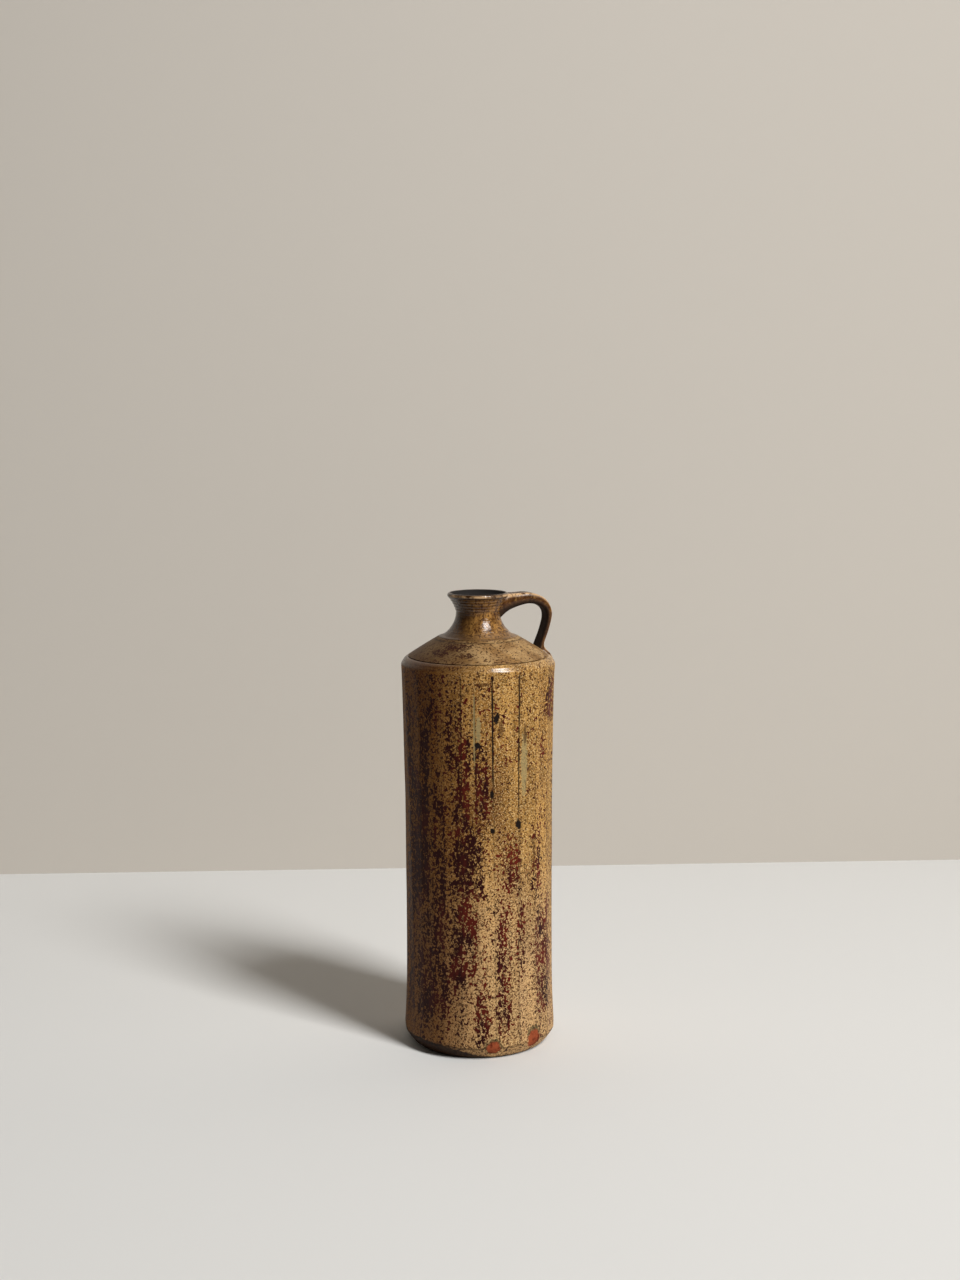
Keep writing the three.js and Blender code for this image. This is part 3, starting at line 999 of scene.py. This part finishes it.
def glaze_spot_group():
    """A ragged spot round a place, half as wide as Across and half as tall as Along."""
    inputs = {"Vector": None, "Place": (0.0, 0.0, 0.0), "Across": 1 * MM, "Along": 1 * MM, "Ragged": 0.3}
    tree, given, out = new_group("glaze_spot", inputs, ["Mask"])
    away = vectors(tree, "SUBTRACT", given["Vector"], given["Place"])
    halves = {"X": given["Across"], "Y": given["Across"], "Z": given["Along"]}
    away = vectors(tree, "DIVIDE", away, add(tree, "ShaderNodeCombineXYZ", halves).outputs[0])
    away = add(tree, "ShaderNodeVectorMath", {0: away}, operation="LENGTH").outputs["Value"]
    outline = noise(tree, given["Vector"], size=1.6 * MM)
    wander = swing(tree, outline, given["Ragged"])
    away = sums(tree, "MULTIPLY_ADD", wander, 5.0, away)
    tree.links.new(sums(tree, "SUBTRACT", 1.0, between(tree, away, 0.8, 1.1)), out["Mask"])
    return tree


def brown_and_shaded_side_group():
    """The browner side: 1 left of the front, 0 right of it and at the back. Painted shade, over glaze that is
    partly browner there.
    """
    tree, given, out = new_group("brown_and_shaded_side", {"Vector": None}, ["Mask"])
    outwards = vectors(tree, "NORMALIZE", scaled(tree, given["Vector"], 1.0, 0.0))
    turn = math.radians(FRONT + BROWN_AND_SHADED_TURN)
    brown_and_shaded = (math.cos(turn), math.sin(turn), 0.0)
    towards = add(tree, "ShaderNodeVectorMath", {0: outwards, 1: brown_and_shaded}, operation="DOT_PRODUCT")
    tree.links.new(between(tree, towards.outputs["Value"], 0.05, 0.9), out["Mask"])
    return tree


IRON_SPECKLE = iron_speckle_group()
GLAZE_SKIN = glaze_skin_group()
GLAZE_SPOT = glaze_spot_group()
BROWN_AND_SHADED_SIDE = brown_and_shaded_side_group()


def speckle(tree, place, size, cover, drawn=1.0):
    """Where flecks of iron lie. The pattern is drawn out along the jug where drawn is under 1."""
    return use(tree, IRON_SPECKLE, "Mask", vector=place, size=size, cover=cover, drawn=drawn)


def new_glaze(name):
    """A material with its tree of nodes, its Principled shader and the place on the jug."""
    material = bpy.data.materials.new(name)
    material.use_nodes = True
    tree = material.node_tree
    shader = tree.nodes["Principled BSDF"]
    place = add(tree, "ShaderNodeTexCoord").outputs["Object"]
    return material, tree, shader, place


def finish_glaze(tree, shader, place, colour, roughness, relief, gloss, raised=()):
    """Feeds a glaze's colour, roughness and skin to its shader. Masks may raise or lower the skin."""
    shader.inputs["Specular IOR Level"].default_value = gloss
    tree.links.new(colour, shader.inputs["Base Color"])
    tree.links.new(added_up(tree, *roughness), shader.inputs["Roughness"])
    skin = added_up(tree, use(tree, GLAZE_SKIN, "Height", vector=place), *raised)
    bump = add(tree, "ShaderNodeBump", {"Height": skin, "Distance": relief, "Strength": 1.0})
    tree.links.new(bump.outputs[0], shader.inputs["Normal"])


# Spots in the glaze: degrees round from the front, height, half width and half height in mm, and raggedness
DARK_PITS = [
    (31.5, 145, 2.0, 3.2, 0.25), (-0.5, 194, 2.0, 1.9, 0.25), (13.5, 211, 1.9, 3.8, 0.6),
    (10.5, 142, 1.4, 1.8, 0.3), (10, 164, 1.2, 2.8, 0.2), (96, 170, 1.8, 2.4, 0.25),
    (148, 96, 1.6, 2.2, 0.25), (201, 188, 1.9, 2.4, 0.25), (243, 120, 1.6, 2.0, 0.25),
]
PALE_RUNS = [
    (37, 180, 2.6, 21, 0.25), (0, 203, 1.5, 9, 0.35), (-3, 199, 0.7, 34, 0.1), (121, 150, 2, 22, 0.3),
    (222, 175, 2, 16, 0.3),
]
BROWN_RUNS = [
    (37.5, 199, 1.5, 7.5, 0.25), (17, 203, 1.6, 7, 0.45), (3.5, 230.2, 5, 1.2, 0.3),
    (57.5, 191, 0.8, 9, 0.25), (47, 124, 0.8, 15, 0.25), (171, 196, 1.2, 7, 0.25),
]
CLAY_MARKS = [(10.5, 7.6, 4.6, 5.2, 0.14), (45.5, 9.0, 5.4, 6.2, 0.14)]
BURNT_RIMS = [(10.5, 8.2, 5.8, 6.4, 0.25), (45.5, 13.0, 5.4, 5.2, 0.25)]
SHOULDER_SMEARS = [
    (-24, 249.8, 10, 2.4, 0.4), (-40, 246.5, 6, 2.2, 0.4), (-12, 246, 6, 1.6, 0.4), (112, 248, 8, 2, 0.4),
]


def on_jug(degrees, height):
    """The place on the body or shoulder at some degrees round from the front and a height."""
    turn = math.radians(FRONT + degrees)
    radius = wall_radius(min(height, BODY_TOP))
    if height > SHOULDER_SEAT:
        radius = BAND_TOP_RADIUS - (height - SHOULDER_SEAT) / CONE_SLOPE
    return (radius * math.cos(turn), radius * math.sin(turn), height)


def spots(tree, place, rows):
    """One mask for a list of spots."""
    mask = 0.0
    for degrees, height, across, along, ragged in rows:
        spot = use(
            tree, GLAZE_SPOT, "Mask", vector=place, place=on_jug(degrees, height * MM), across=across * MM,
            along=along * MM, ragged=ragged,
        )
        mask = sums(tree, "MAXIMUM", spot, mask)
    return mask


def body_ground(tree, place, height):
    """Ochre that drifts to brown down the wall, with a sandy grain. Its drift and clouds come with it."""
    drift = noise(tree, place, size=8 * MM, along=0.1)
    patches = noise(tree, place, size=32 * MM, along=0.4, detail=2.0, roughness=0.5)
    clouds = noise(tree, place, size=3.4 * MM, along=0.6, roughness=0.65)
    grain = noise(tree, place, size=0.75 * MM, detail=2.0, roughness=0.7)
    colour = washed(
        tree, TAN,
        (between(tree, drift, 0.36, 0.62), OCHRE, 1),
        (between(tree, patches, 0.48, 0.74), AMBER, 0.8),
        (between(tree, clouds, 0.48, 0.36), OLIVE, 0.45),
        (between(tree, height, 150 * MM, 60 * MM), SAND, 0.58),
        # Some facets tinted toward olive: partly the glaze, partly painted shade
        (remembered(tree, "facet_tone_and_shade"), OLIVE, 0.3),
        (between(tree, grain, 0.5, 0.66), STRAW, 0.6),
        (between(tree, grain, 0.48, 0.34), UMBER, 0.55),
    )
    return colour, drift, clouds


def body_flecks(tree, place, height, iron, drift, brown_and_shaded):
    """Where the large flecks of iron lie: thick in the streaks, thinner between them, none on the band."""
    ragged = noise(tree, place, size=5.5 * MM, along=0.4, roughness=0.65)
    thin_streaks = noise(tree, place, size=3 * MM, along=0.07)
    in_streaks = sums(tree, "MULTIPLY", iron, sums(tree, "ADD", between(tree, ragged, 0.34, 0.6), 0.3))
    # More flecks left of the front: painted shade, over glaze that is partly browner there
    cover = added_up(tree, 0.19, (brown_and_shaded, 0.18), (in_streaks, 0.75))
    cover = sums(tree, "ADD", cover, swing(tree, drift, -0.5))
    cover = sums(tree, "ADD", cover, swing(tree, thin_streaks, 0.9))
    cover = sums(tree, "MINIMUM", cover, 0.95)
    flecks = speckle(tree, place, size=1.65 * MM, cover=cover, drawn=0.8)
    return sums(tree, "MULTIPLY", flecks, between(tree, height, BODY_TOP, BODY_TOP - 1.5 * MM))


def iron_colour(tree, place, brown_and_shaded):
    """Maroon, and in patches rust red, but less of that left of the front, where the darker maroon is painted
    shade.
    """
    patches = noise(tree, place, size=9 * MM, along=0.4, detail=2.0, roughness=0.5)
    rusty = sums(tree, "SUBTRACT", between(tree, patches, 0.34, 0.62), share_of(tree, brown_and_shaded, 0.8))
    return washed(tree, MAROON, (rusty, RUST, 1))


def knife_lines(tree, place, clouds):
    """Dark glaze along the scored edges, broken where the knife only grazed."""
    score = remembered(tree, "edge_score")
    from_edge = sums(tree, "ADD", remembered(tree, "edge_distance"), swing(tree, clouds, 1.2 * MM))
    line = sums(tree, "MULTIPLY", between(tree, from_edge, 0.8 * MM, 0.25 * MM), score)
    stretches = noise(tree, place, size=5 * MM, along=0.25, detail=2.0, roughness=0.5)
    kept = sums(tree, "MAXIMUM", between(tree, stretches, 0.3, 0.5), between(tree, score, 0.5, 0.9))
    return sums(tree, "MULTIPLY", line, kept)


def burnt_and_shaded_foot(tree, height, clouds, brown_and_shaded):
    """Where the glaze burnt: the bevel and a ragged line along the heel. Left of the front the dark reaches
    higher up the bevel, which is painted shade.
    """
    ragged_height = sums(tree, "ADD", height, swing(tree, clouds, 5 * MM))
    burnt_and_shaded_to = sums(tree, "MULTIPLY_ADD", brown_and_shaded, 8 * MM, 0.2 * MM)
    bevel = between(tree, sums(tree, "SUBTRACT", ragged_height, burnt_and_shaded_to), 1.4 * MM, 0.0)
    heel_line = near_height(tree, ragged_height, BEVEL_HEIGHT - 0.4 * MM, core=0.3 * MM, rim=0.9 * MM)
    return bevel, heel_line


def body_glaze():
    """Satin ochre glaze over an iron-bearing clay: streaks of flecks, dark scores and a burnt foot."""
    material, tree, shader, place = new_glaze("body_glaze")
    height = height_of(tree, place)
    iron = remembered(tree, "iron")
    brown_and_shaded = use(tree, BROWN_AND_SHADED_SIDE, "Mask", vector=place)
    band = between(tree, height, BODY_TOP - 1 * MM, BODY_TOP + 1 * MM)
    ground, drift, clouds = body_ground(tree, place, height)
    specks = speckle(tree, place, size=1.15 * MM, cover=sums(tree, "MULTIPLY_ADD", iron, 0.3, 0.42))
    flecks = body_flecks(tree, place, height, iron, drift, brown_and_shaded)
    pits = spots(tree, place, DARK_PITS)
    bevel, heel_line = burnt_and_shaded_foot(tree, height, clouds, brown_and_shaded)
    marks = spots(tree, place, CLAY_MARKS)
    clay = washed(tree, BURNT_CLAY, (between(tree, clouds, 0.3, 0.55), BARE_CLAY, 1))
    colour = washed(
        tree, ground,
        # Amber brown left of the front: painted shade, over glaze that is partly browner there
        (brown_and_shaded, AMBER, 0.82),
        # The band darker left of the front: painted shade
        (sums(tree, "MULTIPLY", band, brown_and_shaded), SHADE_AND_LIP_BROWN, 0.6),
        (specks, SPECK, 0.85),
        (flecks, iron_colour(tree, place, brown_and_shaded), 1),
        (spots(tree, place, PALE_RUNS), PALE_RUN, 0.75),
        (spots(tree, place, BROWN_RUNS), NECK_BROWN, 0.7),
        (knife_lines(tree, place, clouds), SCORE, 1),
        (pits, SCORE, 1),
        (bevel, BURNT_GLAZE, 0.9),
        (heel_line, BURNT_GLAZE, 0.6),
        (spots(tree, place, BURNT_RIMS), MOSS, 0.75),
        (marks, clay, 1),
    )
    shader.inputs["Coat Roughness"].default_value = 0.22
    tree.links.new(share_of(tree, band, 0.8), shader.inputs["Coat Weight"])
    roughness = (0.6, (flecks, -0.1), (marks, 0.35))
    raised = ((flecks, 1.6), (drift, 3.0), (pits, -3.0), (marks, -2.0))
    finish_glaze(tree, shader, place, colour, roughness, relief=0.09 * MM, gloss=0.12, raised=raised)
    return material


def shoulder_glaze():
    """Greyish tan, nearly matt, with dark specks, a maroon smear and the line of the rib under the neck."""
    material, tree, shader, place = new_glaze("shoulder_glaze")
    brown_and_shaded = use(tree, BROWN_AND_SHADED_SIDE, "Mask", vector=place)
    patches = noise(tree, place, size=12 * MM, roughness=0.55)
    clouds = noise(tree, place, size=2.6 * MM, roughness=0.65)
    specks = speckle(tree, place, size=1.35 * MM, cover=0.45)
    smear_cover = sums(tree, "MULTIPLY_ADD", spots(tree, place, SHOULDER_SMEARS), 1.4, -0.5)
    smears = speckle(tree, place, size=1.3 * MM, cover=smear_cover, drawn=1.8)
    height = height_of(tree, place)
    rib_line = near_height(tree, height, NECK_SEAT - 1.3 * MM, core=0.15 * MM, rim=0.5 * MM)
    colour = washed(
        tree, SHOULDER_DUSK,
        (between(tree, patches, 0.35, 0.65), SHOULDER_TAN, 1),
        (between(tree, clouds, 0.5, 0.7), OCHRE, 0.25),
        # Darker left of the front: painted shade, over glaze that is partly browner there
        (brown_and_shaded, SHADE_AND_LIP_BROWN, 0.75),
        (specks, SPECK, 0.85),
        (smears, MAROON, 0.85),
        (sums(tree, "MULTIPLY", rib_line, between(tree, clouds, 0.35, 0.5)), SCORE, 0.55),
    )
    roughness = (0.42, (patches, 0.15))
    finish_glaze(tree, shader, place, colour, roughness, relief=0.08 * MM, gloss=0.12)
    return material


def neck_glaze():
    """Glossy ochre, browner above, tan like the shoulder at its foot, and nearly black in the mouth, where
    the dark is painted shade.
    """
    material, tree, shader, place = new_glaze("neck_glaze")
    height = height_of(tree, place)
    brown_and_shaded = use(tree, BROWN_AND_SHADED_SIDE, "Mask", vector=place)
    inside = remembered(tree, "inside")
    rings = noise(tree, place, size=1.3 * MM, across=0.12)
    runs = noise(tree, place, size=2.2 * MM, along=0.2)
    patches = noise(tree, place, size=8 * MM)
    ochre = sums(tree, "ADD", sums(tree, "MULTIPLY_ADD", patches, 0.6, 0.2), swing(tree, rings, 0.5))
    ochre = sums(tree, "ADD", ochre, swing(tree, runs, 0.6))
    ragged_height = sums(tree, "ADD", height, swing(tree, patches, 4 * MM))
    foot = between(tree, ragged_height, NECK_SEAT + 6 * MM, NECK_SEAT)
    specks = speckle(tree, place, size=1.1 * MM, cover=0.5, drawn=0.6)
    # A pale broken line round the lip's outer rounding: a painted highlight
    painted_crest_highlight = near_height(tree, height, RIM - 1.3 * MM, core=0.4 * MM, rim=0.9 * MM)
    colour = washed(
        tree, NECK_BROWN,
        (between(tree, ochre, 0.24, 0.76), NECK_OCHRE, 1),
        (between(tree, height, NECK_WAIST - 4 * MM, RIM - LIP_HEIGHT), NECK_BROWN, 0.45),
        (foot, SHOULDER_DUSK, 0.7),
        (specks, SPECK, 0.8),
        # Darker left of the front: painted shade, over glaze that is partly browner there
        (brown_and_shaded, SHADE_AND_LIP_BROWN, 0.85),
        (between(tree, height, RIM - LIP_HEIGHT * 1.1, RIM - LIP_HEIGHT * 0.8), SHADE_AND_LIP_BROWN, 0.75),
        (sums(tree, "MULTIPLY", painted_crest_highlight, between(tree, patches, 0.4, 0.6)), SAND, 0.7),
        # Nearly black inside the mouth: painted shade
        (inside, INNER_SHADE, 1),
    )
    roughness = (0.12, (patches, 0.16), (foot, 0.15), (inside, 0.7))
    raised = ((rings, 1.5),)
    finish_glaze(tree, shader, place, colour, roughness, relief=0.15 * MM, gloss=0.55, raised=raised)
    return material


def handle_glaze():
    """Glossy brown ochre, paler along the strap's turned-up edges, where the glaze breaks thin and a
    highlight is painted, and dark on its inner face, which is painted shade.
    """
    material, tree, shader, place = new_glaze("handle_glaze")
    inside = remembered(tree, "strap_inside")
    patches = noise(tree, place, size=6 * MM)
    clouds = noise(tree, place, size=2 * MM, roughness=0.65)
    edge_break_and_highlight = sums(tree, "MULTIPLY", remembered(tree, "strap_edge"), between(tree, clouds, 0.3, 0.5))
    specks = speckle(tree, place, size=0.9 * MM, cover=0.3, drawn=0.8)
    colour = washed(
        tree, HANDLE_BROWN,
        (between(tree, patches, 0.36, 0.62), HANDLE_OCHRE, 1),
        (between(tree, clouds, 0.5, 0.7), OCHRE, 0.3),
        # Pale along the edges: the glaze breaking thin, with a painted highlight
        (edge_break_and_highlight, SAND, 1),
        (remembered(tree, "strap_back"), HANDLE_BROWN, 0.85),
        # Nearly black on the strap's inner face: painted shade
        (inside, INNER_SHADE, 0.85),
        (specks, SPECK, 0.7),
    )
    roughness = (0.2, (patches, 0.12), (inside, 0.6))
    finish_glaze(tree, shader, place, colour, roughness, relief=0.06 * MM, gloss=0.3)
    return material


# Room, light and camera. The photo frame is the jug's frame turned so that the viewer looks along its +Y.
PHOTO_FRAME = Matrix.Rotation(math.radians(VIEW_TURN), 4, "Z")

# The floor and the wall behind, in metres, with the wall's turn in degrees
SHEET_SIZE = 5.0
FLOOR_TONE = tone(226, 225, 222)
WALL_TONE = tone(206, 199, 189)
WALL_DISTANCE = 0.403
WALL_TURN = 2.5

# The sky and the window, in metres, degrees and watts
SKY_COLOUR = (1, 0.93, 0.84, 1)
SKY_STRENGTH = 0.035
WINDOW_FROM = (0, 0, 0.12)
WINDOW_DIRECTION = (0.5, -0.5, 0.707)
WINDOW_DISTANCE = 3.5
WINDOW_AIM = (-0.15, 0.1, 0.12)
WINDOW_WIDTH = 0.77
WINDOW_HEIGHT = 1.64
WINDOW_SPREAD = 100
WINDOW_POWER = 40

# The photo's viewpoint, fitted to the ellipses of the rim, shoulder and foot, in metres and degrees, with the
# lens and its sensor in mm
CAMERA_STAND = (0.0012, -1.07419, 0.39697)
CAMERA_PITCH = 7.76
CAMERA_ROLL = -0.22
LENS = 49.95
SENSOR = 36


def flat_sheet(name, colour, matrix):
    """A plain pale sheet for the floor or the wall. Its tree of nodes comes back."""
    bpy.ops.object.select_all(action="DESELECT")
    bpy.ops.mesh.primitive_plane_add(size=SHEET_SIZE)
    sheet = bpy.context.object
    sheet.name = name
    sheet.matrix_world = matrix
    material = bpy.data.materials.new(name)
    material.use_nodes = True
    shader = material.node_tree.nodes["Principled BSDF"]
    shader.inputs["Base Color"].default_value = colour
    shader.inputs["Roughness"].default_value = 0.9
    shader.inputs["Specular IOR Level"].default_value = 0.2
    sheet.data.materials.append(material)
    return material.node_tree


def clear_from_behind(tree):
    """Lets a sheet be seen only from its front, so that the jug can be looked at from behind the wall."""
    clear = add(tree, "ShaderNodeBsdfTransparent")
    behind = add(tree, "ShaderNodeNewGeometry").outputs["Backfacing"]
    shader = tree.nodes["Principled BSDF"]
    both = add(tree, "ShaderNodeMixShader", {0: behind, 1: shader.outputs[0], 2: clear.outputs[0]})
    tree.links.new(both.outputs[0], tree.nodes["Material Output"].inputs["Surface"])


def set_room():
    """A floor under the jug and a wall close behind it, a little askew."""
    flat_sheet("floor", FLOOR_TONE, Matrix.Identity(4))
    place = PHOTO_FRAME @ Matrix.Translation((0, WALL_DISTANCE, 0))
    upright = Matrix.Rotation(math.radians(WALL_TURN), 4, "Z") @ Matrix.Rotation(math.radians(90), 4, "X")
    clear_from_behind(flat_sheet("wall", WALL_TONE, place @ upright))


def set_light():
    """One tall window of light from the front right, aimed a little left of the jug, and a dim warm sky."""
    world = bpy.data.worlds.new("sky")
    world.use_nodes = True
    sky = world.node_tree.nodes["Background"]
    sky.inputs["Color"].default_value = SKY_COLOUR
    sky.inputs["Strength"].default_value = SKY_STRENGTH
    bpy.context.scene.world = world

    turn = PHOTO_FRAME.to_3x3()
    place = turn @ (Vector(WINDOW_FROM) + WINDOW_DISTANCE * Vector(WINDOW_DIRECTION).normalized())
    light = bpy.data.lights.new("window", "AREA")
    light.shape = "RECTANGLE"
    light.size = WINDOW_WIDTH
    light.size_y = WINDOW_HEIGHT
    light.spread = math.radians(WINDOW_SPREAD)
    light.energy = WINDOW_POWER
    lamp = bpy.data.objects.new("window", light)
    lamp.location = place
    lamp.rotation_euler = (turn @ Vector(WINDOW_AIM) - place).to_track_quat("-Z", "Y").to_euler()
    lamp.visible_camera = False
    bpy.context.collection.objects.link(lamp)


def set_camera():
    """The camera at the photo's viewpoint."""
    camera = bpy.data.cameras.new("camera")
    camera.lens = LENS
    camera.sensor_width = SENSOR
    viewer = bpy.data.objects.new("camera", camera)
    pitch = Matrix.Rotation(math.radians(90 - CAMERA_PITCH), 4, "X")
    roll = Matrix.Rotation(math.radians(CAMERA_ROLL), 4, "Z")
    viewer.matrix_world = PHOTO_FRAME @ Matrix.Translation(CAMERA_STAND) @ pitch @ roll
    bpy.context.collection.objects.link(viewer)
    bpy.context.scene.camera = viewer


def place_piece(piece, node, material):
    """Dresses a finished piece, and lets it ride in the place of its CAD node."""
    piece.data.materials.clear()
    piece.data.materials.append(material)
    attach(piece, "root")
    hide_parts(node)


bpy.ops.object.select_all(action="DESELECT")
place_piece(make_body(), "faceted_body", body_glaze())
place_piece(make_shoulder(), "shoulder", shoulder_glaze())
place_piece(make_neck(), "neck", neck_glaze())
place_piece(make_handle(), "handle", handle_glaze())
set_room()
set_light()
set_camera()
bpy.context.scene.view_settings.view_transform = "Standard"
